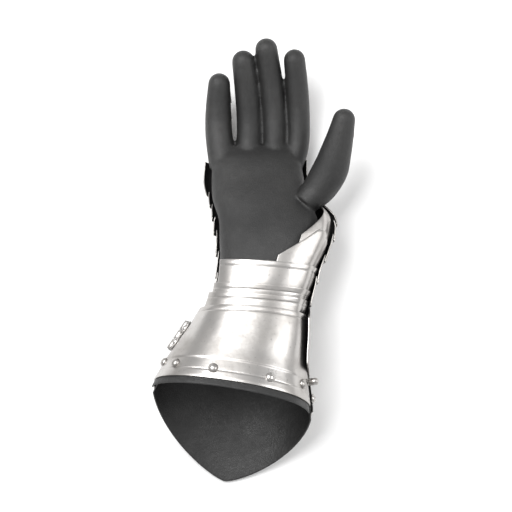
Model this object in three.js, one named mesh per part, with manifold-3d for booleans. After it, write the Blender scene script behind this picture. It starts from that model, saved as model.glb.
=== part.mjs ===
// A right-hand hourglass gauntlet, lying on its back with the palm up: leather glove, steel cuff, lames and scales.
// Millimetres. +Y runs from the elbow to the fingertips, +X is the thumb side, +Z is up out of the palm.
import * as THREE from 'three';
import { mergeVertices } from 'three/addons/utils/BufferGeometryUtils.js';
import Module from 'manifold-3d';

const wasm = await Module();
wasm.setup();

// ---------------------------------------------------------------- driving sizes
const STEEL = 1.1; // thickness of a plate
const LEATHER = 1.8; // wall of the glove
const LINING = 1.4; // wall of the cuff's lining
const GAP = 0.5; // air between pieces that lie on each other
const TUCK = STEEL + GAP; // how much lower a plate lies where the next one covers it
const SQUARENESS = 2.2; // exponent of the oval sections of the armour
const FRONT_DROP = 1.9; // how far the front cuff plate lies inside the back plate, at the thumb side
const LAME_DROP = 3.9; // the same for the wrist's lames, which lie inside two layers there
const HIDDEN_SLOPE = { palm: 0.2, wrist: 0.1, metacarpal: 0.32 }; // how steeply a lame goes on down where it is covered
const PIN = { radius: 1.5, clearance: 0.35, barrel: 3.1, length: 30, stand: 3.4 };
const RIM_Y = -120; // section at which the cuff's rim lies
const POINT_REACH = 70; // how far the back plate's point runs past the rim

// Oval sections of the armour, from the knuckles to past the cuff's mouth.
// y, x: centre; half: half width; lean: degrees that the thumb side is set back; low, high: underside and top.
const armour = [
  { y: 100, x: 0, half: 49, lean: 0, low: 3.5, high: 44 },
  { y: 80, x: 0.5, half: 50, lean: 0, low: 4.5, high: 52 },
  { y: 62, x: 8, half: 53.5, lean: 1.5, low: 8, high: 62 },
  { y: 46, x: 17, half: 59, lean: 3, low: 11, high: 72 },
  { y: 28, x: 18, half: 58, lean: 4, low: 14, high: 78 },
  { y: 10, x: 15.5, half: 54, lean: 4.5, low: 17, high: 82 },
  { y: -6, x: 12, half: 50.6, lean: 4.5, low: 19, high: 84.5 },
  { y: -20, x: 9.7, half: 49, lean: 4.6, low: 20, high: 86 },
  { y: -34, x: 5.8, half: 48.3, lean: 5, low: 20, high: 87 },
  { y: -46, x: 2.5, half: 49.6, lean: 5.4, low: 18.5, high: 88.5 },
  { y: -62, x: -2, half: 53.8, lean: 6.3, low: 14.5, high: 92 },
  { y: -86, x: -9.7, half: 60.5, lean: 8.9, low: 8.5, high: 99 },
  { y: -120, x: -17.5, half: 72.3, lean: 9.5, low: 2.6, high: 111 },
  { y: -140, x: -21, half: 76, lean: 9.5, low: 1.4, high: 118 },
  { y: -195, x: -30, half: 82, lean: 9.5, low: 1.2, high: 128 },
];

// Palm side's lames, hand side first. y: hand edge; tuck: hidden edge; ulnar: degrees of the little finger's end.
const frontLames = [
  { name: 'wrist_front_lame_1', y: -5, tuck: -33.5, ulnar: 141, next: -26 },
  { name: 'wrist_front_lame_2', y: -26, tuck: -41, ulnar: 147, next: -34.5 },
  { name: 'wrist_front_lame_3', y: -34.5, tuck: -54, ulnar: 154, next: -45 },
];

// Thumb wing's lames: a diagonal free edge from (y0, deg0) to its apex (y1, deg1), hidden edge at tuck.
const wingLames = [
  { name: 'thumb_wing_lame_1', inner: { y: 22, degrees: 62 }, apex: { y: 51.5, degrees: 28 }, tuck: 8, layer: 1.4 },
  { name: 'thumb_wing_lame_2', inner: { y: 1, degrees: 79 }, apex: { y: 28, degrees: 44 }, tuck: -15, layer: 0 },
];

// Back's lames from the wrist to the knuckles. y: elbow-side edge, which lies on top; tuck: hidden hand-side edge.
const backLames = [
  { name: 'wrist_back_lame_1', y: -38, tuck: -12, ulnar: 199, thumb: 366, next: -18, place: 'wrist' },
  { name: 'wrist_back_lame_2', y: -18, tuck: 8, ulnar: 199, thumb: 366, next: 2, place: 'wrist' },
  { name: 'wrist_back_lame_3', y: 2, tuck: 28, ulnar: 196, thumb: 366, next: 22, place: 'wrist' },
  { name: 'metacarpal_lame_1', y: 22, tuck: 41, ulnar: 190, thumb: 366, next: 36, place: 'metacarpal' },
  { name: 'metacarpal_lame_2', y: 36, tuck: 55, ulnar: 187, thumb: 356, next: 50, place: 'metacarpal' },
  { name: 'metacarpal_lame_3', y: 50, tuck: 69, ulnar: 185, thumb: 350, next: 64, place: 'metacarpal' },
];
const knucklePlate = { y: 64, hand: 101, ulnar: 183, thumb: 356 };
const KNUCKLE_BOSS = { y: 92, radius: 13.3, rise: { little: 4, ring: 2.6, middle: 2.4, index: 7.5 } };

// Glove's palm sections. y, x: centre; half: half width; low, high: back and palm surfaces.
const palm = [
  { y: -44, x: 3.5, half: 39, low: 28, high: 77 },
  { y: -20, x: 10, half: 40.5, low: 27.5, high: 77 },
  { y: 0, x: 13, half: 43, low: 26, high: 76 },
  { y: 20, x: 14, half: 45, low: 23.5, high: 73 },
  { y: 40, x: 13, half: 45.5, low: 20, high: 66 },
  { y: 60, x: 4.5, half: 43.5, low: 16, high: 58 },
  { y: 80, x: 2.5, half: 43.5, low: 12, high: 49 },
  { y: 100, x: 1, half: 42, low: 9.5, high: 40.5 },
  { y: 114, x: 2, half: 43, low: 12, high: 31 },
];

// Fingers: points on the centre line with the radius there, from inside the palm to the tip.
const fingers = {
  little: [
    [-31.5, 94, 23.5, 12.5], [-33.5, 112, 22.5, 13.2], [-35.3, 130, 24.5, 13], [-35, 150, 31, 12.2], [-33, 171, 42, 10.5],
  ],
  ring: [
    [-6.5, 94, 24, 12], [-6.2, 114, 23, 12.3], [-6, 138, 25.5, 12], [-7, 163, 36, 11.8], [-9.3, 189, 51.5, 10.8],
  ],
  middle: [
    [17.5, 94, 24, 11.5], [18.3, 114, 23, 11.6], [18, 140, 26, 11.5], [16, 170, 38.5, 11.3], [12.6, 199, 55.5, 10.6],
  ],
  index: [
    [34.5, 94, 24, 10.3], [39.8, 114, 23, 10.7], [41, 138, 26, 10.8], [40.5, 163, 36.5, 10.6], [38.6, 189.5, 51, 10.2],
  ],
};
const thumbLine = [
  [46, 53, 46.5, 11.5], [60, 67, 46, 15.5], [70.5, 83, 50, 16.5], [76, 98, 56, 14.6], [80.5, 112, 63, 12.4],
  [84, 125, 70, 10.4],
];
const SCALES_PER_FINGER = 4;
const THUMB_SCALES = 3;

// ---------------------------------------------------------------- curves and ovals
const radians = (degrees) => degrees * Math.PI / 180;
const mix = (a, b, t) => a + (b - a) * t;
const power = (value, exponent) => Math.sign(value) * Math.pow(Math.abs(value), exponent);
const smooth = (a, b, value) => THREE.MathUtils.smoothstep(value, a, b);

// Smooth reading of one column of a table whose rows run down in y; it runs on straight past both ends.
function read(table, column, y) {
  const slope = (i) => {
    const a = table[Math.max(i - 1, 0)];
    const b = table[Math.min(i + 1, table.length - 1)];
    return (b[column] - a[column]) / (b.y - a.y);
  };
  const last = table.length - 1;
  const down = table[0].y > table[last].y;
  const before = (a, b) => (down ? a > b : a < b);
  if (!before(table[0].y, y)) return table[0][column] + slope(0) * (y - table[0].y);
  if (!before(y, table[last].y)) return table[last][column] + slope(last) * (y - table[last].y);
  let i = 0;
  while (before(table[i + 1].y, y)) i += 1;
  const span = table[i + 1].y - table[i].y;
  const t = (y - table[i].y) / span;
  const rise = 3 * t * t - 2 * t * t * t;
  return table[i][column] * (1 - rise) + table[i + 1][column] * rise
    + span * (slope(i) * (t - 2 * t * t + t * t * t) + slope(i + 1) * (t * t * t - t * t));
}

// A point of the armour's outer surface, moved out by rise. 0 degrees is the thumb side, 90 the palm, 270 the back.
function armourPoint(y, degrees, rise) {
  const c = power(Math.cos(radians(degrees)), 2 / SQUARENESS);
  const s = power(Math.sin(radians(degrees)), 2 / SQUARENESS);
  const half = read(armour, 'half', y);
  const low = read(armour, 'low', y);
  const tall = (read(armour, 'high', y) - low) / 2;
  const normal = new THREE.Vector2(power(c, SQUARENESS - 1) / half, power(s, SQUARENESS - 1) / tall).normalize();
  const across = half * c + rise * normal.x;
  const lean = radians(read(armour, 'lean', y));
  const x = read(armour, 'x', y) + across * Math.cos(lean);
  return new THREE.Vector3(x, y - across * Math.sin(lean), low + tall + tall * s + rise * normal.y);
}

// ---------------------------------------------------------------- solids
function toGeometry(vertices, faces) {
  let geometry = new THREE.BufferGeometry();
  geometry.setAttribute('position', new THREE.Float32BufferAttribute(vertices.flatMap((p) => [p.x, p.y, p.z]), 3));
  geometry.setIndex(faces);
  geometry = mergeVertices(geometry, 1e-4);
  if (signedVolume(geometry) < 0) geometry.setIndex(Array.from(geometry.index.array).reverse());
  return geometry;
}

function signedVolume(geometry) {
  const position = geometry.attributes.position;
  const corner = (i) => new THREE.Vector3().fromBufferAttribute(position, geometry.index.getX(i));
  let volume = 0;
  for (let i = 0; i < geometry.index.count; i += 3) {
    volume += corner(i).dot(corner(i + 1).cross(corner(i + 2))) / 6;
  }
  return volume;
}

// A sheet with two faces: place(u, v, side) gives the outer face for side 0 and the inner one for side 1.
function sheet(across, along, place) {
  const vertices = [];
  const index = (i, j, side) => (side * (along + 1) + j) * (across + 1) + i;
  for (const side of [0, 1]) {
    for (let j = 0; j <= along; j += 1) {
      for (let i = 0; i <= across; i += 1) vertices.push(place(i / across, j / along, side));
    }
  }
  const faces = [];
  const quad = (a, b, c, d) => faces.push(a, b, c, a, c, d);
  for (let j = 0; j < along; j += 1) {
    for (let i = 0; i < across; i += 1) {
      quad(index(i, j, 0), index(i + 1, j, 0), index(i + 1, j + 1, 0), index(i, j + 1, 0));
      quad(index(i, j, 1), index(i, j + 1, 1), index(i + 1, j + 1, 1), index(i + 1, j, 1));
    }
    quad(index(0, j, 0), index(0, j + 1, 0), index(0, j + 1, 1), index(0, j, 1));
    quad(index(across, j, 0), index(across, j, 1), index(across, j + 1, 1), index(across, j + 1, 0));
  }
  for (let i = 0; i < across; i += 1) {
    quad(index(i, 0, 0), index(i, 0, 1), index(i + 1, 0, 1), index(i + 1, 0, 0));
    quad(index(i, along, 0), index(i + 1, along, 0), index(i + 1, along, 1), index(i, along, 1));
  }
  return toGeometry(vertices, faces);
}

// A solid through closed rings, with a flat or pointed cap at each end.
function loft(rings) {
  const count = rings[0].length;
  const vertices = rings.flat();
  const faces = [];
  for (let j = 0; j < rings.length - 1; j += 1) {
    for (let i = 0; i < count; i += 1) {
      const a = j * count + i;
      const b = j * count + (i + 1) % count;
      faces.push(a, b, b + count, a, b + count, a + count);
    }
  }
  const cap = (ring, start, turned) => {
    const middle = ring.reduce((sum, p) => sum.add(p), new THREE.Vector3()).divideScalar(count);
    vertices.push(middle);
    for (let i = 0; i < count; i += 1) {
      const a = start + i;
      const b = start + (i + 1) % count;
      faces.push(...(turned ? [b, a, vertices.length - 1] : [a, b, vertices.length - 1]));
    }
  };
  cap(rings[0], 0, true);
  cap(rings[rings.length - 1], (rings.length - 1) * count, false);
  return toGeometry(vertices, faces);
}

function toManifold(geometry) {
  let clean = geometry.clone();
  clean.deleteAttribute('normal');
  clean.deleteAttribute('uv');
  clean = mergeVertices(clean, 1e-4);
  const vertProperties = new Float32Array(clean.attributes.position.array);
  const triVerts = new Uint32Array(clean.index.array);
  return new wasm.Manifold(new wasm.Mesh({ numProp: 3, vertProperties, triVerts }));
}

function fromManifold(solid) {
  const mesh = solid.getMesh();
  const geometry = new THREE.BufferGeometry();
  geometry.setAttribute('position', new THREE.BufferAttribute(new Float32Array(mesh.vertProperties), 3));
  geometry.setIndex(Array.from(mesh.triVerts));
  return geometry;
}

const join = (geometries) => fromManifold(geometries.map(toManifold).reduce((a, b) => a.add(b)));

// ---------------------------------------------------------------- materials and pieces
const group = new THREE.Group();
const finishes = {
  steel: { color: 0xa8a49c, roughness: 0.35, metalness: 1 },
  leather: { color: 0x17171a, roughness: 0.6, metalness: 0 },
};

function addPiece(name, finish, geometry) {
  const mesh = new THREE.Mesh(geometry, new THREE.MeshStandardMaterial(finishes[finish]));
  mesh.name = name;
  group.add(mesh);
  return mesh;
}

// A domed rivet head with a short shank, standing on the point with its axis along out.
function rivetHead(point, out, radius, height, sides, shank) {
  const profile = [[0, -shank], [radius, -shank], [radius, height * 0.35], [radius * 0.65, height * 0.85], [0, height]];
  const geometry = new THREE.LatheGeometry(profile.map(([x, y]) => new THREE.Vector2(x, y)), sides);
  geometry.applyQuaternion(new THREE.Quaternion().setFromUnitVectors(new THREE.Vector3(0, 1, 0), out));
  return geometry.translate(point.x, point.y, point.z);
}

// Where a rivet stands on a plate, and which way it points.
function onArmour(y, degrees, rise) {
  const point = armourPoint(y, degrees, rise);
  const around = armourPoint(y, degrees + 1, rise).sub(armourPoint(y, degrees - 1, rise));
  const along = armourPoint(y + 1, degrees, rise).sub(armourPoint(y - 1, degrees, rise));
  const out = around.cross(along).normalize();
  const middle = new THREE.Vector3(read(armour, 'x', y), y, (read(armour, 'low', y) + read(armour, 'high', y)) / 2);
  if (out.dot(point.clone().sub(middle)) < 0) out.negate();
  return { point, out };
}

// ---------------------------------------------------------------- cuff
const FRONT_THUMB = -4;
const BACK_ULNAR = 184.5;
const FRONT_HAND = { top: -45, sides: -49 };
const FRONT_ULNAR = { hand: 163, straight: 175.5, from: -47, to: -62 };
const RIM_DIP = 9;
const LIP = { height: 17, from: -86, to: -97, cut: 9 };

// How far inside the back's plates the palm side's plates lie: fully at the thumb side, not at all on the palm.
const frontRise = (degrees, drop = FRONT_DROP) => -drop * (1 - smooth(18, 40, degrees));
const ulnarEdge = (y) => mix(FRONT_ULNAR.hand, FRONT_ULNAR.straight, smooth(-FRONT_ULNAR.from, -FRONT_ULNAR.to, -y));
const frontRim = (degrees) => RIM_Y + RIM_DIP * Math.max(0, Math.sin(radians(degrees)));

// The back's rim runs out to a rounded point: reach is its length past the rim at this angle.
function backRim(degrees, reach) {
  const sideways = Math.abs(power(Math.cos(radians(degrees)), 2 / SQUARENESS));
  return RIM_Y - 4 - reach * Math.pow(1 - Math.pow(sideways, 1.3), 0.68);
}

function frontPlate(extra = 0, depth = 0, wall = STEEL, hand = FRONT_HAND) {
  return sheet(22, 5, (u, v, side) => {
    const start = mix(hand.sides, hand.top, Math.sin(Math.PI * u));
    const y = mix(start, frontRim(180 * u) - extra, v);
    const degrees = mix(FRONT_THUMB + depth, ulnarEdge(y) - depth, u);
    return armourPoint(y, degrees, frontRise(degrees) - depth - side * wall);
  });
}

// The back plate tucks under the first wrist lame; its thumb edge stands up as a straight lip outside the front plate.
const BACK_HAND = { y: -30, covered: -38 };
function backPlate() {
  return sheet(25, 8, (u, v, side) => {
    const wall = Math.min(1, u / 0.9);
    const start = v < 0.125 ? mix(BACK_HAND.y, BACK_HAND.covered, v * 8) : BACK_HAND.covered;
    const y = mix(start, backRim(180 + 180 * wall, POINT_REACH), Math.max(0, v - 0.125) / 0.875);
    const rise = -TUCK * smooth(BACK_HAND.covered - 8, BACK_HAND.covered, y) - side * STEEL;
    const cut = smooth(-LIP.from, -LIP.to, -y);
    const edge = 360 - LIP.cut * cut;
    const point = armourPoint(y, mix(BACK_ULNAR + 14 * smooth(-62, -46, y), edge, wall), rise);
    const lip = LIP.height * (1 - cut) * (1 - smooth(-50, -40, y));
    return point.setZ(point.z + lip * Math.max(0, u - 0.9) / 0.1);
  });
}

function backLining(depth) {
  return sheet(20, 7, (u, v, side) => {
    const degrees = mix(BACK_ULNAR + 2, 351, u);
    const y = mix(-62, backRim(degrees, POINT_REACH) - 4, v);
    return armourPoint(y, degrees, -STEEL - depth - side * LINING);
  });
}

// ---------------------------------------------------------------- lames
// A lame lies level at its free edge, is TUCK lower where the next piece's edge covers it, and then dips on.
function dip(free, next, y, slope) {
  const covered = Math.abs(y - free) - Math.abs(next - free);
  return TUCK * Math.min(1, Math.abs(y - free) / Math.abs(next - free)) + slope * Math.max(0, covered);
}

function frontLame({ y: free, tuck, ulnar, next }) {
  return sheet(16, 2, (u, v, side) => {
    const degrees = mix(FRONT_THUMB, ulnar + 3 * v, u);
    const y = v < 0.5 ? mix(free, next, v * 2) : mix(next, tuck, v * 2 - 1);
    return armourPoint(y, degrees, frontRise(degrees, LAME_DROP) - dip(free, next, y, HIDDEN_SLOPE.palm) - side * STEEL);
  });
}

// The wing's free edge climbs from the palm to an apex by the thumb, then drops down the thumb's side.
const WING = { thumb: 4, share: 0.75, drop: 17, level: 24, covered: -5 };
function wingLame({ inner, apex, tuck, layer }) {
  return sheet(16, 2, (u, v, side) => {
    const climb = Math.min(1, u / WING.share);
    const round = Math.max(0, (u - WING.share) / (1 - WING.share));
    const degrees = mix(mix(inner.degrees, apex.degrees, climb), WING.thumb, round);
    const y = mix(mix(inner.y, apex.y, climb) - WING.drop * round * round, tuck, v);
    const lower = dip(WING.level, WING.covered, Math.min(y, WING.level), HIDDEN_SLOPE.palm);
    return armourPoint(y, degrees, frontRise(degrees, LAME_DROP) - TUCK * layer - lower - side * STEEL);
  });
}

function backLame({ y: free, tuck, ulnar, thumb, next, place }) {
  return sheet(16, 2, (u, v, side) => {
    const y = v < 0.5 ? mix(free, next, v * 2) : mix(next, tuck, v * 2 - 1);
    return armourPoint(y, mix(ulnar, thumb, u), -dip(free, next, y, HIDDEN_SLOPE[place]) - side * STEEL);
  });
}

function knucklePlateSheet() {
  return sheet(22, 5, (u, v, side) => {
    const y = mix(knucklePlate.y, knucklePlate.hand, v);
    const point = armourPoint(y, mix(knucklePlate.ulnar, knucklePlate.thumb, u), -side * STEEL);
    const swell = Object.entries(fingers).map(([finger, path]) => {
      const away = Math.hypot(point.x - path[0][0] - 1.5, y - KNUCKLE_BOSS.y);
      return KNUCKLE_BOSS.rise[finger] * (1 - smooth(0, KNUCKLE_BOSS.radius, away));
    });
    return point.setZ(point.z - Math.max(...swell));
  });
}

// ---------------------------------------------------------------- glove
const curveThrough = (points) => new THREE.CatmullRomCurve3(points.map(([x, y, z]) => new THREE.Vector3(x, y, z)));

// Frame of a finger's cross section at t: centre, sideways direction, direction out of the palm, and radius.
function fingerFrame(path, t) {
  const curve = curveThrough(path);
  const centre = curve.getPoint(t);
  const tangent = curve.getTangent(t);
  const up = new THREE.Vector3(0, 0, 1).addScaledVector(tangent, -tangent.z).normalize();
  const sideways = new THREE.Vector3().crossVectors(tangent, up);
  const place = t * (path.length - 1);
  const i = Math.min(path.length - 2, Math.floor(place));
  return { centre, tangent, up, sideways, radius: mix(path[i][3], path[i + 1][3], place - i) };
}

function fingerRing({ centre, up, sideways }, radius, count) {
  return Array.from({ length: count }, (_, i) => {
    const angle = 2 * Math.PI * i / count;
    return centre.clone().addScaledVector(sideways, radius * Math.cos(angle)).addScaledVector(up, radius * Math.sin(angle));
  });
}

function fingerLoft(path, inset, count = 10) {
  const rings = [];
  const steps = path.length - 1;
  for (let j = 0; j <= steps; j += 1) {
    const frame = fingerFrame(path, j / steps);
    rings.push(fingerRing(frame, frame.radius - inset, count));
  }
  const tip = fingerFrame(path, 1);
  for (const angle of [35, 65]) {
    const reach = (tip.radius - inset) * Math.sin(radians(angle));
    const centre = tip.centre.clone().addScaledVector(tip.tangent, reach);
    rings.push(fingerRing({ ...tip, centre }, (tip.radius - inset) * Math.cos(radians(angle)), count));
  }
  return loft(rings);
}

function palmLoft(inset) {
  const count = 16;
  const ends = inset > 0 ? [palm[0].y - 5, palm[palm.length - 1].y - inset] : [palm[0].y, palm[palm.length - 1].y];
  const rings = [];
  for (let j = 0; j <= 7; j += 1) {
    const y = mix(ends[0], ends[1], j / 7);
    const [x, half, low, high] = ['x', 'half', 'low', 'high'].map((column) => read(palm, column, y));
    rings.push(Array.from({ length: count }, (_, i) => {
      const angle = -2 * Math.PI * (i + 0.5) / count;
      const c = power(Math.cos(angle), 2 / 2.5);
      const s = power(Math.sin(angle), 2 / 2.5);
      return new THREE.Vector3(x + (half - inset) * c, y, (low + high) / 2 + ((high - low) / 2 - inset) * s);
    }));
  }
  return loft(rings);
}

// The glove's seam runs round the hand between palm and back: its height at this distance along the hand.
function seamHeight(y) {
  const rows = [
    { y: -60, z: 51 }, { y: 0, z: 50 }, { y: 60, z: 34 }, { y: 110, z: 22 }, { y: 145, z: 27 }, { y: 175, z: 42 },
    { y: 205, z: 60 },
  ];
  return read(rows, 'z', y);
}

function seamBlock(top, bottom) {
  return sheet(1, 10, (u, v, side) => {
    const y = mix(-60, 230, v);
    return new THREE.Vector3(mix(-120, 120, u), y, side === 0 ? top(y) : bottom(y));
  });
}

function gloveParts() {
  const paths = Object.values(fingers);
  const whole = (inset) => [palmLoft(inset), ...paths.map((path) => fingerLoft(path, inset))]
    .map(toManifold).reduce((a, b) => a.add(b));
  const thumbOuter = toManifold(fingerLoft(thumbLine, 0, 12));
  const thumbInner = toManifold(fingerLoft(thumbLine, LEATHER, 12));
  const hand = whole(0).subtract(whole(LEATHER));
  const socket = toManifold(fingerLoft(thumbLine, -0.35, 12));
  const thumb = thumbOuter.subtract(thumbInner).subtract(toManifold(palmLoft(-0.35)));
  const body = hand.subtract(socket.intersect(toManifold(palmLoft(-0.3)).subtract(toManifold(palmLoft(LEATHER + 3)))));
  const above = toManifold(seamBlock(() => 120, (y) => seamHeight(y) + 0.2));
  const below = toManifold(seamBlock((y) => seamHeight(y) - 0.2, () => -20));
  return { glove_palm: body.intersect(above), glove_back: body.intersect(below), glove_thumb: thumb };
}

const scaleLift = (v) => 0.3 + 2 * (1 - v);

// One scale on the back of a finger, lying under the one nearer the hand.
function scale(path, t0, t1, lift, spread, steps = 4) {
  return sheet(steps, 2, (u, v, side) => {
    const t = mix(t0, t1, v);
    const frame = fingerFrame(path, t);
    const angle = radians(mix(270 - spread, 270 + spread, u));
    const radius = frame.radius + GAP + lift(v) + STEEL * (1 - side);
    return frame.centre.clone().addScaledVector(frame.sideways, radius * Math.cos(angle))
      .addScaledVector(frame.up, radius * Math.sin(angle));
  });
}

// ---------------------------------------------------------------- hinge and pin
const hingeEnds = [-59, -93].map((y) => armourPoint(y, 180, PIN.stand));
const hingeLevel = 54;
hingeEnds.forEach((point) => point.setZ(hingeLevel));
const hingeCentre = hingeEnds[0].clone().add(hingeEnds[1]).divideScalar(2);
const hingeDirection = hingeEnds[0].clone().sub(hingeEnds[1]).normalize();

function rod(radius, from, to, sides = 10) {
  const geometry = new THREE.CylinderGeometry(radius, radius, to - from, sides);
  geometry.translate(0, (from + to) / 2, 0);
  geometry.applyQuaternion(new THREE.Quaternion().setFromUnitVectors(new THREE.Vector3(0, 1, 0), hingeDirection));
  return geometry.translate(hingeCentre.x, hingeCentre.y, hingeCentre.z);
}

// A leaf lies on its plate and ends in barrels round the pin; above is 1 for the palm side's leaf, -1 for the back's.
function hingeLeaf(above, barrels) {
  const inner = PIN.radius + PIN.clearance;
  const flap = sheet(6, 3, (u, v, side) => {
    const y = mix(-63, -89, u);
    const degrees = 180 - above * mix(4.4, 15, v);
    return armourPoint(y, degrees, (side === 0 ? STEEL + GAP : GAP) + (1 - v) * 0.4);
  });
  const arm = (from, to) => {
    const geometry = new THREE.BoxGeometry(STEEL, to - from, 5.5);
    geometry.translate(1.6, (from + to) / 2, above * 3.6);
    const turn = new THREE.Matrix4().makeBasis(
      new THREE.Vector3(hingeDirection.y, -hingeDirection.x, 0), hingeDirection, new THREE.Vector3(0, 0, 1));
    geometry.applyMatrix4(turn);
    return geometry.translate(hingeCentre.x, hingeCentre.y, hingeCentre.z);
  };
  let solid = toManifold(flap);
  for (const [from, to] of barrels) {
    solid = solid.add(toManifold(arm(from, to))).add(toManifold(rod(PIN.barrel, from, to)));
  }
  return fromManifold(solid.subtract(toManifold(rod(inner, -40, 40))));
}

function lockingPin() {
  const { point, out } = onArmour(-100, 3, -1.4);
  const shank = new THREE.CylinderGeometry(3.2, 3.2, 8.6, 12).translate(0, 4.3, 0);
  const hole = new THREE.CylinderGeometry(1.3, 1.3, 12, 10).rotateX(Math.PI / 2).translate(0, 6, 0);
  const pierced = fromManifold(toManifold(shank).subtract(toManifold(hole)));
  pierced.applyQuaternion(new THREE.Quaternion().setFromUnitVectors(new THREE.Vector3(0, 1, 0), out));
  return pierced.translate(point.x, point.y, point.z);
}

// ---------------------------------------------------------------- assembly
const RIM_RIVET = { radius: 4.3, height: 2.6 };
const rimRivets = {
  front: { y: -103, degrees: [22, 62, 102, 139, 166] },
  back: { y: -113, degrees: [194, 214, 238, 270, 302, 327, 352] },
};

function withRivets(geometry, places, radius) {
  return join([geometry, ...places.map(([y, degrees, rise]) => {
    const { point, out } = onArmour(y, degrees, rise);
    return rivetHead(point, out, radius, radius * 0.6, 6, 0.7);
  })]);
}

addPiece('cuff_front_plate', 'steel', withRivets(frontPlate(), [[-53, 42, 0], [-54, 158, 0]], 3));
addPiece('cuff_back_plate', 'steel', backPlate());
addPiece('cuff_front_lining', 'leather', frontPlate(6, STEEL + GAP + 0.4, LINING, { top: -66, sides: -66 }));
addPiece('cuff_back_lining', 'leather', backLining(GAP + 0.4));
frontLames.forEach((row) => addPiece(row.name, 'steel', frontLame(row)));
wingLames.forEach((row) => addPiece(row.name, 'steel', wingLame(row)));
backLames.forEach((row) => addPiece(row.name, 'steel', backLame(row)));
addPiece('knuckle_plate', 'steel', knucklePlateSheet());

for (const [name, solid] of Object.entries(gloveParts())) addPiece(name, 'leather', fromManifold(solid));

for (const [finger, path] of Object.entries(fingers)) {
  for (let k = 0; k < SCALES_PER_FINGER; k += 1) {
    const t0 = mix(0.3, 0.97, k / SCALES_PER_FINGER);
    const t1 = mix(0.3, 0.97, (k + 1) / SCALES_PER_FINGER) + (k < SCALES_PER_FINGER - 1 ? 0.05 : 0);
    addPiece(`${finger}_scale_${k + 1}`, 'steel', scale(path, t0, t1, scaleLift, 46));
  }
}
for (let k = 0; k < THUMB_SCALES; k += 1) {
  const t0 = mix(0.45, 0.97, k / THUMB_SCALES);
  const t1 = mix(0.45, 0.97, (k + 1) / THUMB_SCALES) + (k < THUMB_SCALES - 1 ? 0.04 : 0);
  addPiece(`thumb_scale_${k + 1}`, 'steel', scale(thumbLine, t0, t1, scaleLift, 46));
}

for (const [face, { y, degrees }] of Object.entries(rimRivets)) {
  degrees.forEach((angle, i) => {
    const { point, out } = onArmour(y, angle, (face === 'front' ? frontRise(angle) : 0) + 0.5);
    addPiece(`rim_rivet_${face}_${i + 1}`, 'steel', rivetHead(point, out, RIM_RIVET.radius, RIM_RIVET.height, 6, 0));
  });
}

addPiece('hinge_front_leaf', 'steel', hingeLeaf(1, [[-4.6, 4.6]]));
addPiece('hinge_back_leaf', 'steel', hingeLeaf(-1, [[-15, -5], [5, 15]]));
addPiece('hinge_pin', 'steel', rod(PIN.radius, -PIN.length / 2 - 0.5, PIN.length / 2 + 0.5));
addPiece('locking_pin', 'steel', lockingPin());

// ---------------------------------------------------------------- origin under the middle of the whole piece
const box = new THREE.Box3().setFromObject(group);
const centre = box.getCenter(new THREE.Vector3());
group.position.set(-centre.x, -centre.y, -box.min.z);
group.updateMatrixWorld(true);

export default group;
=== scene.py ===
"""Looks of a right-hand hourglass gauntlet that lies palm up: steel plates, rivets, lining and leather glove.

Every surface repeats the part's own formulas. Lengths are in millimetres until a mesh is made."""
import math

import bpy
import numpy as np
from mathutils import Matrix, Vector


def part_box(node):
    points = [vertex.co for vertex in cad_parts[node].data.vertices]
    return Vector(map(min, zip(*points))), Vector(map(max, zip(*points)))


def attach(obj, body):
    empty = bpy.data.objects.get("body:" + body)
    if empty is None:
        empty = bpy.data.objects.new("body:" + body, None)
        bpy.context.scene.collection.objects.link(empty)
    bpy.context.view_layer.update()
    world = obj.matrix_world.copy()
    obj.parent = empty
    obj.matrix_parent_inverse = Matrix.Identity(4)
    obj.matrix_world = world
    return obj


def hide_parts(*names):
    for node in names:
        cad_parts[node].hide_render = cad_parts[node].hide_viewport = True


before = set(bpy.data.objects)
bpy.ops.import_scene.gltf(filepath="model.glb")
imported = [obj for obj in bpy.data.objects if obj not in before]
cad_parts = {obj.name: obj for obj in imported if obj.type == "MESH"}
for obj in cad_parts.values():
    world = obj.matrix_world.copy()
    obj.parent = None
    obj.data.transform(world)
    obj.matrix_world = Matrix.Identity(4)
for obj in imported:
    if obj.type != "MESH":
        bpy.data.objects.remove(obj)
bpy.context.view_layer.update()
MM = 0.001

# ---------------------------------------------------------------- driving sizes, as in the part
STEEL = 1.1
LINING = 1.4
GAP = 0.5
TUCK = STEEL + GAP
SQUARENESS = 2.2
FRONT_DROP = 1.9
LAME_DROP = 3.9
RIM_Y = -120.0
POINT_REACH = 70.0
FRONT_THUMB = -4.0
BACK_ULNAR = 184.5
RIM_DIP = 9.0

# y, x, half, lean, low, high of the armour's oval sections
ARMOUR = np.array([
    (100, 0, 49, 0, 3.5, 44),
    (80, 0.5, 50, 0, 4.5, 52),
    (62, 8, 53.5, 1.5, 8, 62),
    (46, 17, 59, 3, 11, 72),
    (28, 18, 58, 4, 14, 78),
    (10, 15.5, 54, 4.5, 17, 82),
    (-6, 12, 50.6, 4.5, 19, 84.5),
    (-20, 9.7, 49, 4.6, 20, 86),
    (-34, 5.8, 48.3, 5, 20, 87),
    (-46, 2.5, 49.6, 5.4, 18.5, 88.5),
    (-62, -2, 53.8, 6.3, 14.5, 92),
    (-86, -9.7, 60.5, 8.9, 8.5, 99),
    (-120, -17.5, 72.3, 9.5, 2.6, 111),
    (-140, -21, 76, 9.5, 1.4, 118),
    (-195, -30, 82, 9.5, 1.2, 128),
], float)

# y, x, half, low, high of the glove's palm sections
PALM = np.array([
    (-44, 3.5, 39, 28, 77),
    (-20, 10, 40.5, 27.5, 77),
    (0, 13, 43, 26, 76),
    (20, 14, 45, 23.5, 73),
    (40, 13, 45.5, 20, 66),
    (60, 4.5, 43.5, 16, 58),
    (80, 2.5, 43.5, 12, 49),
    (100, 1, 42, 9.5, 40.5),
    (114, 2, 43, 12, 31),
], float)

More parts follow.
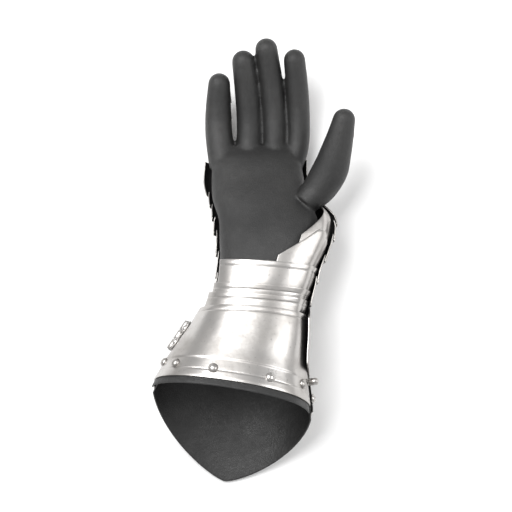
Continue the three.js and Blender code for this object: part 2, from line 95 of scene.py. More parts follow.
# x, y, z, radius along each finger's centre line
FINGERS = {
    "little": [(-31.5, 94, 23.5, 12.5), (-33.5, 112, 22.5, 13.2), (-35.3, 130, 24.5, 13),
               (-35, 150, 31, 12.2), (-33, 171, 42, 10.5)],
    "ring": [(-6.5, 94, 24, 12), (-6.2, 114, 23, 12.3), (-6, 138, 25.5, 12), (-7, 163, 36, 11.8),
             (-9.3, 189, 51.5, 10.8)],
    "middle": [(17.5, 94, 24, 11.5), (18.3, 114, 23, 11.6), (18, 140, 26, 11.5), (16, 170, 38.5, 11.3),
               (12.6, 199, 55.5, 10.6)],
    "index": [(34.5, 94, 24, 10.3), (39.8, 114, 23, 10.7), (41, 138, 26, 10.8), (40.5, 163, 36.5, 10.6),
              (38.6, 189.5, 51, 10.2)],
}
THUMB = [(46, 53, 46.5, 11.5), (60, 67, 46, 15.5), (70.5, 83, 50, 16.5), (76, 98, 56, 14.6),
         (80.5, 112, 63, 12.4), (84, 125, 70, 10.4)]


# ---------------------------------------------------------------- curves and ovals
def smooth(a, b, value):
    t = np.clip((np.asarray(value, float) - a) / (b - a), 0, 1)
    return t * t * (3 - 2 * t)


def mix(a, b, t):
    return a + (b - a) * t


def power(value, exponent):
    return np.sign(value) * np.abs(value) ** exponent


def read(table, column, y):
    """Smooth reading of one column of a table by its first one; it runs on straight past both ends."""
    y = np.asarray(y, float)
    rows = table if table[0, 0] < table[-1, 0] else table[::-1]
    at, value = rows[:, 0], rows[:, column]
    before = np.r_[0, np.arange(len(at) - 1)]
    after = np.r_[np.arange(1, len(at)), len(at) - 1]
    slope = (value[after] - value[before]) / (at[after] - at[before])
    i = np.clip(np.searchsorted(at, y) - 1, 0, len(at) - 2)
    span = at[i + 1] - at[i]
    t = np.clip((y - at[i]) / span, 0, 1)
    ease = 3 * t * t - 2 * t ** 3
    inside = value[i] * (1 - ease) + value[i + 1] * ease
    inside = inside + span * (slope[i] * (t - 2 * t * t + t ** 3) + slope[i + 1] * (t ** 3 - t * t))
    return inside + slope[0] * np.minimum(y - at[0], 0) + slope[-1] * np.maximum(y - at[-1], 0)


def armour_point(y, degrees, rise):
    """Points of the armour's outer surface, moved out by rise. 0 degrees is the thumb side, 90 the palm."""
    angle = np.radians(degrees)
    c = power(np.cos(angle), 2 / SQUARENESS)
    s = power(np.sin(angle), 2 / SQUARENESS)
    half = read(ARMOUR, 2, y)
    low = read(ARMOUR, 4, y)
    tall = (read(ARMOUR, 5, y) - low) / 2
    nx = power(c, SQUARENESS - 1) / half
    nz = power(s, SQUARENESS - 1) / tall
    length = np.sqrt(nx * nx + nz * nz)
    across = half * c + rise * nx / length
    lean = np.radians(read(ARMOUR, 3, y))
    x = read(ARMOUR, 1, y) + across * np.cos(lean)
    return np.stack([x, y - across * np.sin(lean), low + tall + tall * s + rise * nz / length], -1)


PIN_STAND = 3.4
HINGE_LEVEL = 54.0
HINGE_ENDS = [armour_point(y, 180.0, PIN_STAND) for y in (-59.0, -93.0)]
HINGE_CENTRE = (HINGE_ENDS[0] + HINGE_ENDS[1]) / 2
HINGE_CENTRE[2] = HINGE_LEVEL
pin_low, pin_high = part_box("hinge_pin")
SHIFT = (np.array(pin_low) + np.array(pin_high)) / 2 / MM - HINGE_CENTRE


# ---------------------------------------------------------------- meshes
def make_object(name, points, faces, materials, smooth_shade=True):
    """A mesh object from points in millimetres in the model's own frame."""
    mesh = bpy.data.meshes.new(name)
    mesh.from_pydata((np.asarray(points, float) + SHIFT) * MM, [], faces)
    mesh.validate()
    for material in materials:
        mesh.materials.append(material)
    mesh.polygons.foreach_set("use_smooth", [smooth_shade] * len(mesh.polygons))
    obj = bpy.data.objects.new(name, mesh)
    bpy.context.scene.collection.objects.link(obj)
    return obj


def grid_faces(rows, columns, closed=False):
    """Quads over a grid of rows x columns points; closed joins the last column to the first."""
    index = np.arange(rows * columns).reshape(rows, columns)
    if closed:
        index = np.concatenate([index, index[:, :1]], axis=1)
    quads = np.stack([index[:-1, :-1], index[:-1, 1:], index[1:, 1:], index[1:, :-1]], -1).reshape(-1, 4)
    return quads.tolist()


def face_out(obj, centre_of):
    """Turns the mesh's faces so that they look away from the line that centre_of gives for each y."""
    mesh = obj.data
    count = len(mesh.polygons)
    centres = np.empty(count * 3)
    normals = np.empty(count * 3)
    mesh.polygons.foreach_get("center", centres)
    mesh.polygons.foreach_get("normal", normals)
    centres = centres.reshape(-1, 3) / MM - SHIFT
    out = centres - centre_of(centres)
    if (out * normals.reshape(-1, 3)).sum() < 0:
        mesh.flip_normals()


def armour_axis(points):
    y = points[:, 1]
    middle = (read(ARMOUR, 4, y) + read(ARMOUR, 5, y)) / 2
    return np.stack([read(ARMOUR, 1, y), y, middle], -1)


def thicken(obj, thickness, bevel, inner_material=1):
    """Gives a sheet its thickness inward, with softened edges."""
    solid = obj.modifiers.new("wall", "SOLIDIFY")
    solid.thickness = thickness * MM
    solid.offset = -1
    solid.use_even_offset = True
    solid.material_offset = inner_material
    edge = obj.modifiers.new("edge", "BEVEL")
    edge.width = bevel * MM
    edge.segments = 2
    edge.limit_method = "ANGLE"
    edge.angle_limit = math.radians(50)
    edge.harden_normals = False


def sheet_piece(name, body, us, vs, place, materials, thickness=STEEL, bevel=0.3, replaced=()):
    """A curved sheet: place(u, v) gives the points of its outer face, for all of us and vs at once."""
    u, v = np.meshgrid(us, vs)
    obj = make_object(name, place(u, v).reshape(-1, 3), grid_faces(len(vs), len(us)), materials)
    face_out(obj, armour_axis)
    thicken(obj, thickness, bevel)
    finish_piece(obj, body, replaced)
    return obj


def finish_piece(obj, body, replaced=()):
    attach(obj, body)
    if replaced:
        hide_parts(*replaced)


def with_groove(count, groove, width):
    """Even steps from 0 to 1, closer together across a groove at that share."""
    near = groove + width * np.array([-1.6, -0.8, -0.3, 0.3, 0.8, 1.6])
    steps = np.linspace(0, 1, count)
    steps = steps[(np.abs(steps - groove) > width * 2.2)]
    return np.unique(np.r_[steps, near])


def groove_depth(distance, width, depth):
    """Depth of an incised line at this distance from its middle."""
    return -depth * np.exp(-(distance / width) ** 2)


# ---------------------------------------------------------------- materials
def new_material(name):
    material = bpy.data.materials.new(name)
    material.use_nodes = True
    tree = material.node_tree
    return material, tree, tree.nodes["Principled BSDF"]


def add_node(tree, kind, inputs=(), **settings):
    node = tree.nodes.new(kind)
    for key, value in settings.items():
        setattr(node, key, value)
    for key, value in dict(inputs).items():
        if isinstance(value, bpy.types.NodeSocket):
            tree.links.new(value, node.inputs[key])
        else:
            node.inputs[key].default_value = value
    return node


def noise(tree, vector, scale, detail=4.0, roughness=0.55, stretch=None):
    if stretch:
        mapping = add_node(tree, "ShaderNodeMapping", {"Vector": vector})
        mapping.inputs["Scale"].default_value = stretch
        vector = mapping.outputs["Vector"]
    node = add_node(tree, "ShaderNodeTexNoise", {"Vector": vector, "Scale": scale, "Detail": detail,
                                                 "Roughness": roughness})
    return node.outputs["Fac"]


def ramp(tree, value, stops):
    node = add_node(tree, "ShaderNodeValToRGB", {"Fac": value})
    while len(node.color_ramp.elements) < len(stops):
        node.color_ramp.elements.new(0.5)
    for element, (position, colour) in zip(node.color_ramp.elements, stops):
        element.position = position
        element.color = colour if len(colour) == 4 else (*colour, 1)
    return node.outputs["Color"]


def grey(value, warm=0.0):
    return (value * (1 + warm), value, value * (1 - warm), 1)


def bump(tree, height, strength, distance, normal=None):
    inputs = {"Height": height, "Strength": strength, "Distance": distance}
    if normal:
        inputs["Normal"] = normal
    return add_node(tree, "ShaderNodeBump", inputs).outputs["Normal"]


def steel_material(name, base, rough, tarnish):
    """Brushed steel gone slightly dull: fine scratches round the cuff, cloudy patches and dark specks."""
    material, tree, shader = new_material(name)
    place = add_node(tree, "ShaderNodeTexCoord").outputs["Object"]
    clouds = noise(tree, place, 28, 6, 0.62)
    specks = noise(tree, place, 310, 5, 0.7)
    scratches = noise(tree, place, 900, 3, 0.6, (0.04, 1.0, 0.5))
    cloudy = ramp(tree, clouds, [(0.3, grey(base * (1 - tarnish), 0.05)), (0.52, grey(base, 0.035)),
                                 (0.75, grey(base * 1.12, 0.02))])
    specked = ramp(tree, specks, [(0.27, grey(0.45)), (0.4, grey(1.0))])
    colour = add_node(tree, "ShaderNodeMixRGB", {"Fac": 0.75, "Color1": cloudy, "Color2": specked},
                      blend_type="MULTIPLY").outputs["Color"]
    tree.links.new(colour, shader.inputs["Base Color"])
    shine = ramp(tree, clouds, [(0.3, grey(rough + 0.12)), (0.7, grey(rough - 0.05))])
    tree.links.new(shine, shader.inputs["Roughness"])
    shader.inputs["Metallic"].default_value = 1.0
    relief = bump(tree, scratches, 0.12, 0.0002)
    relief = bump(tree, noise(tree, place, 60, 3), 0.22, 0.0012, relief)
    tree.links.new(relief, shader.inputs["Normal"])
    return material


def leather_material(name, shade, rough, grain_scale, crease):
    """Black leather: pebbled grain and soft creases, a little shinier where it is rubbed."""
    material, tree, shader = new_material(name)
    place = add_node(tree, "ShaderNodeTexCoord").outputs["Object"]
    warp = add_node(tree, "ShaderNodeTexNoise", {"Vector": place, "Scale": 160.0, "Detail": 2.0})
    bent = add_node(tree, "ShaderNodeMixRGB",
                    {"Fac": 0.004, "Color1": place, "Color2": warp.outputs["Color"]})
    cells = add_node(tree, "ShaderNodeTexVoronoi", {"Vector": bent.outputs["Color"], "Scale": grain_scale},
                     feature="DISTANCE_TO_EDGE").outputs["Distance"]
    grain = ramp(tree, cells, [(0.0, grey(0.0)), (0.18, grey(0.8)), (0.5, grey(1.0))])
    folds = noise(tree, place, 75, 5, 0.6)
    rubbed = noise(tree, place, 22, 4, 0.6)
    shades = [(0.35, grey(shade)), (0.62, grey(shade * 1.9, 0.02)), (0.8, grey(shade * 2.6, 0.03))]
    colour = ramp(tree, rubbed, shades)
    tree.links.new(colour, shader.inputs["Base Color"])
    shine = ramp(tree, rubbed, [(0.3, grey(rough + 0.1)), (0.7, grey(rough - 0.08))])
    tree.links.new(shine, shader.inputs["Roughness"])
    shader.inputs["Specular IOR Level"].default_value = 0.55
    relief = bump(tree, grain, 0.35, 0.0004)
    relief = bump(tree, folds, crease, 0.0018, relief)
    tree.links.new(relief, shader.inputs["Normal"])
    return material


def plain_material(name, shade, rough, scale, strength):
    """A near-black surface with a fine uneven skin: black paint whose dark also stands in for painted shade.
    """
    material, tree, shader = new_material(name)
    place = add_node(tree, "ShaderNodeTexCoord").outputs["Object"]
    skin = noise(tree, place, scale, 4)
    colour = ramp(tree, skin, [(0.3, grey(shade * 0.6)), (0.7, grey(shade * 1.5))])
    tree.links.new(colour, shader.inputs["Base Color"])
    shader.inputs["Roughness"].default_value = rough
    tree.links.new(bump(tree, skin, strength, 0.0003), shader.inputs["Normal"])
    return material


PLATE = steel_material("plate_steel", 0.47, 0.3, 0.3)
RIVET = steel_material("rivet_steel", 0.5, 0.26, 0.35)
# Inner faces of the plates: black paint, and the same near black also stands in for painted shade inside the
# plates and in the gap between plates and glove.
PAINT_AND_SHADE = plain_material("black_paint_and_shade", 0.012, 0.5, 400, 0.2)
GLOVE = leather_material("glove_leather", 0.0085, 0.5, 900, 0.35)
CUFF_LEATHER = leather_material("lining_leather", 0.006, 0.46, 700, 0.45)


# ---------------------------------------------------------------- cuff
def front_rise(degrees, drop=FRONT_DROP):
    return -drop * (1 - smooth(18, 40, degrees))


def ulnar_edge(y):
    return mix(163, 175.5, smooth(47, 62, -y))


def front_rim(degrees):
    return RIM_Y + RIM_DIP * np.maximum(0, np.sin(np.radians(degrees)))


def back_rim(degrees):
    sideways = np.abs(power(np.cos(np.radians(degrees)), 2 / SQUARENESS))
    return RIM_Y - 4 - POINT_REACH * np.maximum(0, 1 - sideways ** 1.3) ** 0.68


HAND_TOP = -45.0
HAND_SIDES = -49.0
INCISED = 4.8
BAND = 17.5
BAND_STEP = 0.7


def front_start(u):
    return mix(HAND_SIDES, HAND_TOP, np.sin(np.pi * u))


def cuff_front_place(u, v):
    rim = front_rim(180 * u)
    y = mix(front_start(u), rim, v)
    degrees = mix(FRONT_THUMB, ulnar_edge(y), u)
    line = groove_depth(front_start(u) - INCISED - y, 0.45, 0.35)
    band = BAND_STEP * (smooth(BAND - 0.7, BAND + 0.7, y - rim) - 1)
    upper = groove_depth(y - rim - 7.2, 0.4, 0.3)
    return armour_point(y, degrees, front_rise(degrees) + line + upper + band)


def cuff_front():
    length = HAND_TOP - front_rim(90)
    near = np.r_[INCISED + np.array([-1, -0.5, -0.2, 0.2, 0.5, 1]),
                 length - 7.2 + np.array([-1, -0.4, 0, 0.4, 1]),
                 length - BAND + np.array([-1, -0.4, 0.4, 1])] / length
    vs = np.unique(np.r_[np.linspace(0, 1, 26), near])
    us = np.linspace(0, 1, 110)
    sheet_piece("front_cuff_plate", "front", us, vs, cuff_front_place, [PLATE, PAINT_AND_SHADE],
                replaced=["cuff_front_plate"])


LIP = {"height": 17.0, "cut": 9.0}
BACK_HAND = (-30.0, -38.0)


def cuff_back_place(u, v):
    wall = np.minimum(1, u / 0.9)
    hidden = 0.125
    start = np.where(v < hidden, mix(BACK_HAND[0], BACK_HAND[1], v / hidden), BACK_HAND[1])
    y = mix(start, back_rim(180 + 180 * wall), np.maximum(0, v - hidden) / (1 - hidden))
    rise = -TUCK * smooth(BACK_HAND[1] - 8, BACK_HAND[1], y)
    rim = back_rim(180 + 180 * wall)
    rise = rise + groove_depth(y - rim - 7.2, 0.4, 0.3)
    cut = smooth(86, 97, -y)
    degrees = mix(BACK_ULNAR + 14 * smooth(-62, -46, y), 360 - LIP["cut"] * cut, wall)
    points = armour_point(y, degrees, rise)
    lip = LIP["height"] * (1 - cut) * (1 - smooth(-50, -40, y))
    points[..., 2] += lip * np.maximum(0, u - 0.9) / 0.1
    return points


def cuff_back():
    vs = np.r_[np.linspace(0, 0.125, 4), np.linspace(0.125, 1, 60)[1:]]
    us = np.unique(np.r_[np.linspace(0, 0.9, 110), np.linspace(0.9, 1, 6)])
    sheet_piece("back_cuff_plate", "back", us, vs, cuff_back_place, [PLATE, PAINT_AND_SHADE],
                replaced=["cuff_back_plate"])


# ---------------------------------------------------------------- lames
FRONT_LAMES = [
    ("wrist_front_lame_1", -5, -33.5, 141, -26),
    ("wrist_front_lame_2", -26, -41, 147, -34.5),
    ("wrist_front_lame_3", -34.5, -54, 154, -45),
]
WING_LAMES = [
    ("thumb_wing_lame_1", (22, 62), (51.5, 28), 8, 1.4),
    ("thumb_wing_lame_2", (1, 79), (28, 44), -15, 0),
]
BACK_LAMES = [
    ("wrist_back_lame_1", -38, -12, 199, 366, -18, 0.1),
    ("wrist_back_lame_2", -18, 8, 199, 366, 2, 0.1),
    ("wrist_back_lame_3", 2, 28, 196, 366, 22, 0.1),
    ("metacarpal_lame_1", 22, 41, 190, 366, 36, 0.32),
    ("metacarpal_lame_2", 36, 55, 187, 356, 50, 0.32),
    ("metacarpal_lame_3", 50, 69, 185, 350, 64, 0.32),
]
PALM_SLOPE = 0.2


def dip(free, following, y, slope):
    gone = np.abs(y - free)
    visible = abs(following - free)
    return TUCK * np.minimum(1, gone / visible) + slope * np.maximum(0, gone - visible)


def front_lames():
    for name, free, tuck, ulnar, following in FRONT_LAMES:
        def place(u, v):
            y = mix(free, tuck, v)
            degrees = mix(FRONT_THUMB, ulnar + 3 * v, u)
            rise = front_rise(degrees, LAME_DROP) - dip(free, following, y, PALM_SLOPE)
            return armour_point(y, degrees, rise + groove_depth(free - INCISED - y, 0.45, 0.35))
        vs = with_groove(14, INCISED / (free - tuck), 0.55 / (free - tuck))
        sheet_piece("lame_" + name, "front", np.linspace(0, 1, 90), vs, place, [PLATE, PAINT_AND_SHADE],
                    replaced=[name])


WING_SHARE = 0.75
WING_DROP = 17.0


def wing_lames():
    for name, inner, apex, tuck, layer in WING_LAMES:
        def place(u, v):
            climb = np.minimum(1, u / WING_SHARE)
            turn = np.maximum(0, (u - WING_SHARE) / (1 - WING_SHARE))
            degrees = mix(mix(inner[1], apex[1], climb), 4, turn)
            edge = mix(inner[0], apex[0], climb) - WING_DROP * turn * turn
            y = mix(edge, tuck, v)
            lower = dip(24, -5, np.minimum(y, 24), PALM_SLOPE)
            rise = front_rise(degrees, LAME_DROP) - TUCK * layer - lower
            return armour_point(y, degrees, rise)
        sheet_piece("lame_" + name, "front", np.linspace(0, 1, 70), np.linspace(0, 1, 16), place,
                    [PLATE, PAINT_AND_SHADE], replaced=[name])


def back_lames():
    for name, free, tuck, ulnar, thumb, following, slope in BACK_LAMES:
        def place(u, v):
            y = mix(free, tuck, v)
            rise = -dip(free, following, y, slope)
            return armour_point(y, mix(ulnar, thumb, u), rise + groove_depth(y - free - 3.2, 0.45, 0.3))
        vs = with_groove(12, 3.2 / (tuck - free), 0.55 / (tuck - free))
        sheet_piece("lame_" + name, "back", np.linspace(0, 1, 90), vs, place, [PLATE, PAINT_AND_SHADE], replaced=[name])


KNUCKLES_Y = 92.0
KNUCKLE_RISE = {"little": 4.0, "ring": 2.6, "middle": 2.4, "index": 7.5}


def knuckle_plate():
    centres = np.array([path[0][0] + 1.5 for path in FINGERS.values()])
    rises = np.array([KNUCKLE_RISE[finger] for finger in FINGERS])

    def place(u, v):
        y = mix(64, 101, v)
        points = armour_point(y, mix(183, 356, u), 0 * y)
        away = np.hypot(points[..., 0, None] - centres, (y - KNUCKLES_Y)[..., None])
        points[..., 2] -= (rises * (1 - smooth(0, 13.3, away))).max(-1)
        return points
    sheet_piece("knuckles", "back", np.linspace(0, 1, 120), np.linspace(0, 1, 34), place, [PLATE, PAINT_AND_SHADE],
                replaced=["knuckle_plate"])


# ---------------------------------------------------------------- lining
def linings():
    def front(u, v):
        y = mix(-66, front_rim(180 * u) - 6, v)
        degrees = mix(FRONT_THUMB + 2, ulnar_edge(y) - 2, u)
        return armour_point(y, degrees, front_rise(degrees) - 2 - 0 * v)

    def back(u, v):
        degrees = mix(BACK_ULNAR + 2, 351, u)
        y = mix(-62, back_rim(degrees) - 4, v)
        return armour_point(y, degrees, -STEEL - GAP - 0.4 + 0 * v)
    pair = [CUFF_LEATHER, CUFF_LEATHER]
    sheet_piece("front_lining", "front", np.linspace(0, 1, 100), np.linspace(0, 1, 30), front, pair,
                LINING, 0.5, ["cuff_front_lining"])
    sheet_piece("back_lining", "back", np.linspace(0, 1, 110), np.linspace(0, 1, 60), back, pair, LINING, 0.5,
                ["cuff_back_lining"])


# ---------------------------------------------------------------- rivets, hinge and pin
def armour_normal(y, degrees, rise):
    point = armour_point(y, degrees, rise)
    around = armour_point(y, degrees + 1, rise) - armour_point(y, degrees - 1, rise)
    along = armour_point(y + 1, degrees, rise) - armour_point(y - 1, degrees, rise)
    out = np.cross(around, along)
    out /= np.linalg.norm(out)
    middle = armour_axis(np.array([[0, float(y), 0]]))[0]
    return point, out if out @ (point - middle) > 0 else -out


def turned(point, out, profile, sides=20):
    """A solid of revolution: profile lists (radius, height), starting and ending on the axis."""
    out = Vector(out)
    turn = np.array(out.to_track_quat("Z", "Y").to_matrix())
    angles = np.linspace(0, 2 * np.pi, sides, endpoint=False)
    points = [[0, 0, profile[0][1]]]
    for radius, height in profile[1:-1]:
        points += [[radius * math.cos(a), radius * math.sin(a), height] for a in angles]
    points.append([0, 0, profile[-1][1]])
    faces = [[0, 1 + (i + 1) % sides, 1 + i] for i in range(sides)]
    for ring in range(len(profile) - 3):
        start = 1 + ring * sides
        for i in range(sides):
            j = (i + 1) % sides
            faces.append([start + i, start + j, start + sides + j, start + sides + i])
    start = 1 + (len(profile) - 3) * sides
    faces += [[start + i, start + (i + 1) % sides, len(points) - 1] for i in range(sides)]
    return np.array(points) @ turn.T + np.asarray(point), faces


def dome_profile(radius, height, sunk=0.8):
    steps = np.radians([0, 18, 38, 58, 76])
    lip = [(0, -sunk), (radius * 0.97, -sunk), (radius, -sunk * 0.4)]
    return lip + [(radius * math.cos(a), height * math.sin(a)) for a in steps] + [(0, height)]


def joined(name, solids, materials):
    points, faces, start = [], [], 0
    for some_points, some_faces in solids:
        points.append(some_points)
        faces += [[i + start for i in face] for face in some_faces]
        start += len(some_points)
    return make_object(name, np.concatenate(points), faces, materials)


RIM_RIVETS = {
    "front": (-103.0, [22, 62, 102, 139, 166]),
    "back": (-113.0, [194, 214, 238, 270, 302, 327, 352]),
}


def rim_rivets():
    for body, (y, angles) in RIM_RIVETS.items():
        for i, angle in enumerate(angles):
            drop = float(front_rise(angle)) if body == "front" else 0.0
            point, out = armour_normal(y, angle, drop + (0.0 if body == "back" else -0.3))
            rivet = joined(f"rim_dome_{body}_{i + 1}", [turned(point, out, dome_profile(4.3, 3.0))], [RIVET])
            finish_piece(rivet, body, [f"rim_rivet_{body}_{i + 1}"])


def rod_points(direction, centre, start, end, radius, sides=20):
    middle = np.asarray(centre) + np.asarray(direction) * start
    length = end - start
    profile = [(0, 0), (radius - 0.3, 0), (radius, 0.3), (radius, length - 0.3), (radius - 0.3, length),
               (0, length)]
    return turned(middle, direction, profile, sides)


HINGE_ALONG = (HINGE_ENDS[0] - HINGE_ENDS[1]) * [1, 1, 0]
HINGE_ALONG /= np.linalg.norm(HINGE_ALONG)


def hinge():
    for name, body, above, barrels in [("hinge_front_leaf", "front", 1, [(-4.6, 4.6)]),
                                       ("hinge_back_leaf", "back", -1, [(-15, -5), (5, 15)])]:
        def place(u, v):
            if above > 0:
                lobes = 1 - 0.24 * (1 - np.abs(np.sin(2 * np.pi * u)))
            else:
                lobes = 1 - 0.1 * np.abs(2 * u - 1) ** 6
            degrees = 180 - above * mix(3.6, 3.6 + 12 * lobes, v)
            return armour_point(mix(-61.5, -90.5, u), degrees, STEEL + GAP + (1 - v) * 0.4)
        sheet_piece("leaf_" + name, body, np.linspace(0, 1, 40), np.linspace(0, 1, 10), place,
                    [RIVET, PAINT_AND_SHADE], 1.2, 0.35, [name])
        solids = [rod_points(HINGE_ALONG, HINGE_CENTRE, a, b, 3.1) for a, b in barrels]
        for share in (0.25, 0.75):
            point, out = armour_normal(mix(-61.5, -90.5, share), 180 - above * 10.5, STEEL + GAP)
            solids.append(turned(point, out, dome_profile(3.4, 2.3)))
        finish_piece(joined("barrels_" + name, solids, [RIVET]), body)
    pin = joined("hinge_rod", [rod_points(HINGE_ALONG, HINGE_CENTRE, -15.5, 15.5, 1.5)], [RIVET])
    finish_piece(pin, "back", ["hinge_pin"])


def locking_pin():
    point, out = armour_normal(-100, 3, -1.4)
    profile = [(0, 0), (3.2, 0), (3.2, 7.2), (2.6, 8.2), (0, 8.6)]
    pin = joined("pierced_stud", [turned(point, out, profile, 32)], [RIVET])
    cutter = joined("stud_hole", [turned(point + out * 5.8 - np.array([0, 8, 0]), (0, 1, 0),
                                         [(0, 0), (1.35, 0), (1.35, 16), (0, 16)], 20)], [PAINT_AND_SHADE])
    cut = pin.modifiers.new("hole", "BOOLEAN")
    cut.object = cutter
    cut.operation = "DIFFERENCE"
    apply_modifiers(pin)
    bpy.data.objects.remove(cutter)
    finish_piece(pin, "front", ["locking_pin"])


def apply_modifiers(obj):
    """Bakes the modifiers of an object into its mesh."""
    graph = bpy.context.evaluated_depsgraph_get()
    mesh = bpy.data.meshes.new_from_object(obj.evaluated_get(graph))
    obj.modifiers.clear()
    old = obj.data
    obj.data = mesh
    bpy.data.meshes.remove(old)


# ---------------------------------------------------------------- glove
def catmull(points, t):
    """Uniform Catmull-Rom curve through the rows of points, for t from 0 to 1."""
    rows = np.array(points, float)
    rows = np.vstack([2 * rows[0] - rows[1], rows, 2 * rows[-1] - rows[-2]])
    count = len(points) - 1
    place = np.clip(t, 0, 1) * count
    i = np.minimum(place.astype(int), count - 1)
    f = (place - i)[..., None]
    a, b, c, d = rows[i], rows[i + 1], rows[i + 2], rows[i + 3]
    square = (2 * a - 5 * b + 4 * c - d) * f ** 2
    cube = (3 * b - a - 3 * c + d) * f ** 3
    return 0.5 * (2 * b + (c - a) * f + square + cube)


def finger_frames(path, t):
    """Centre, radius, tangent, sideways and upward directions along a finger."""
    t = np.asarray(t, float)
    here = catmull(path, t)
    step = 1e-3
    tangent = catmull(path, t + step)[..., :3] - catmull(path, t - step)[..., :3]
    tangent /= np.linalg.norm(tangent, axis=-1, keepdims=True)
    up = np.array([0, 0, 1.0]) - tangent * tangent[..., 2:3]
    up /= np.linalg.norm(up, axis=-1, keepdims=True)
    return here[..., :3], here[..., 3], tangent, np.cross(tangent, up), up


def tube(path, inset, along=44, around=28, tip=6):
    """Closed tube along a finger with a round tip."""
    t = np.linspace(0, 0.999, along)
    centre, radius, tangent, side, up = finger_frames(path, t)
    angles = np.linspace(0, 2 * np.pi, around, endpoint=False)
    rings = []
    for k in range(along):
        r = radius[k] - inset
        rings.append(centre[k] + r * (np.cos(angles)[:, None] * side[k] + np.sin(angles)[:, None] * up[k]))
    r = radius[-1] - inset
    for a in np.radians(np.linspace(0, 84, tip)[1:]):
        middle = centre[-1] + tangent[-1] * r * math.sin(a)
        ring = np.cos(angles)[:, None] * side[-1] + np.sin(angles)[:, None] * up[-1]
        rings.append(middle + r * math.cos(a) * ring)
    return close_loft(np.array(rings))


def close_loft(rings):
    count, around = rings.shape[:2]
    faces = grid_faces(count, around, closed=True)
    faces.append(list(range(around))[::-1])
    faces.append(list(range((count - 1) * around, count * around)))
    return rings.reshape(-1, 3), faces


def palm_loft(inset, start, end, along=40, around=56):
    ys = np.linspace(start, end, along)
    angles = -2 * np.pi * (np.arange(around) + 0.5) / around
    c = power(np.cos(angles), 2 / 2.5)
    s = power(np.sin(angles), 2 / 2.5)
    rings = []
    for y in ys:
        x, half, low, high = (read(PALM, column, y) for column in (1, 2, 3, 4))
        rings.append(np.stack([x + (half - inset) * c, np.full(around, y), (low + high) / 2
                               + ((high - low) / 2 - inset) * s], -1))
    return close_loft(np.array(rings))


def fused(solids, voxel):
    """One closed skin round several closed solids, as a mesh object."""
    obj = joined("fusing", solids, [])
    remesh = obj.modifiers.new("skin", "REMESH")
    remesh.mode = "VOXEL"
    remesh.voxel_size = voxel * MM
    relax = obj.modifiers.new("relax", "SMOOTH")
    relax.iterations = 10
    relax.factor = 0.5
    apply_modifiers(obj)
    return obj


def glove():
    solids = [palm_loft(0, -44, 114)]
    solids += [tube(path, 0) for path in FINGERS.values()]
    solids.append(tube(THUMB, 0))
    obj = fused(solids, 1.3)
    obj.name = "leather_glove"
    obj.data.materials.clear()
    obj.data.materials.append(GLOVE)
    obj.data.polygons.foreach_set("use_smooth", [True] * len(obj.data.polygons))
    finish_piece(obj, "back", ["glove_palm", "glove_back", "glove_thumb"])


# ---------------------------------------------------------------- scales
def scale_lift(v):
    return 0.3 + 2 * (1 - v)


def scale_sheet(name, path, t0, t1, node):
    def place(u, v):
        t = mix(t0, t1, v)
        centre, radius, _, side, up = finger_frames(path, t)
        angle = np.radians(mix(224, 316, u))[..., None]
        reach = (radius + GAP + scale_lift(v) + STEEL)[..., None]
        return centre + reach * (np.cos(angle) * side + np.sin(angle) * up)
    u, v = np.meshgrid(np.linspace(0, 1, 24), np.linspace(0, 1, 14))
    obj = make_object(name, place(u, v).reshape(-1, 3), grid_faces(14, 24), [PLATE, PAINT_AND_SHADE])
    middle = catmull(path, np.array([(t0 + t1) / 2]))[0, :3]
    face_out(obj, lambda points: middle + 0 * points)
    thicken(obj, STEEL, 0.3)
    finish_piece(obj, "back", [node])


def scales():
    for finger, path in FINGERS.items():
        spans(finger, path, 4, 0.3, 0.97, 0.05)
    spans("thumb", THUMB, 3, 0.45, 0.97, 0.04)


def spans(finger, path, count, start, end, overlap):
    for k in range(count):
        t0 = mix(start, end, k / count)
        t1 = mix(start, end, (k + 1) / count) + (overlap if k < count - 1 else 0)
        scale_sheet(f"{finger}_plate_{k + 1}", path, t0, t1, f"{finger}_scale_{k + 1}")


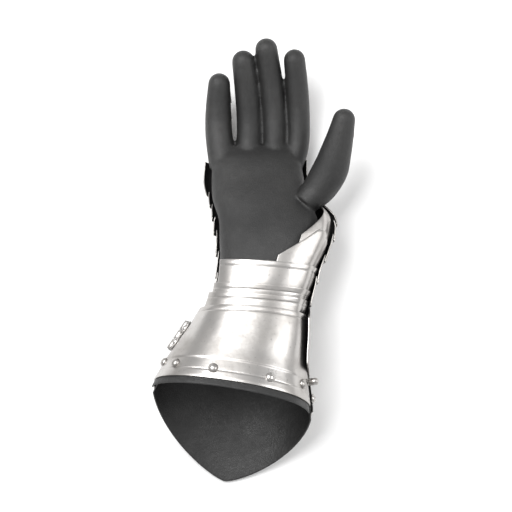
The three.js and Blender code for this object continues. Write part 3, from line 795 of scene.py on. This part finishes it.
# ---------------------------------------------------------------- studio
def area_light(name, place, target, size, watts, colour=(1, 1, 1)):
    light = bpy.data.lights.new(name, "AREA")
    light.shape = "RECTANGLE"
    light.size, light.size_y = size
    light.energy = watts
    light.color = colour
    obj = bpy.data.objects.new(name, light)
    bpy.context.scene.collection.objects.link(obj)
    obj.location = place
    obj.rotation_euler = (Vector(target) - Vector(place)).to_track_quat("-Z", "Y").to_euler()
    return obj


def studio():
    scene = bpy.context.scene
    world = bpy.data.worlds.new("studio")
    world.use_nodes = True
    world.node_tree.nodes["Background"].inputs["Color"].default_value = (1, 1, 1, 1)
    world.node_tree.nodes["Background"].inputs["Strength"].default_value = 0.55
    scene.world = world
    floor = bpy.data.meshes.new("floor")
    floor.from_pydata([(-4, -4, 0), (4, -4, 0), (4, 4, 0), (-4, 4, 0)], [], [(0, 1, 2, 3)])
    material, tree, shader = new_material("pale_floor")
    shader.inputs["Base Color"].default_value = (0.92, 0.92, 0.92, 1)
    shader.inputs["Roughness"].default_value = 0.7
    floor.materials.append(material)
    ground = bpy.data.objects.new("floor", floor)
    scene.collection.objects.link(ground)
    middle = (0, 0, 0.04)
    area_light("key", (-0.5, 0.35, 1.3), middle, (1.1, 0.9), 22)
    area_light("fill", (1.0, 0.1, 0.9), middle, (0.8, 0.8), 7)
    scene.view_settings.view_transform = "Standard"


CAMERA_DISTANCE = 1.05
CAMERA_LEAN = (0.085, -0.17)
FIELD = 0.47


def camera():
    scene = bpy.context.scene
    data = bpy.data.cameras.new("camera")
    target = Vector((0.0, 0.0, 0.04))
    direction = Vector((CAMERA_LEAN[0], CAMERA_LEAN[1], 1)).normalized()
    obj = bpy.data.objects.new("camera", data)
    obj.location = target + direction * CAMERA_DISTANCE
    back = direction
    right = Vector((0, 1, 0)).cross(back).normalized()
    up = back.cross(right)
    obj.rotation_euler = Matrix((right, up, back)).transposed().to_euler()
    data.angle = 2 * math.atan(FIELD / 2 / CAMERA_DISTANCE)
    scene.collection.objects.link(obj)
    scene.camera = obj


camera()
studio()
cuff_front()
cuff_back()
linings()
front_lames()
wing_lames()
back_lames()
knuckle_plate()
scales()
rim_rivets()
hinge()
locking_pin()
glove()
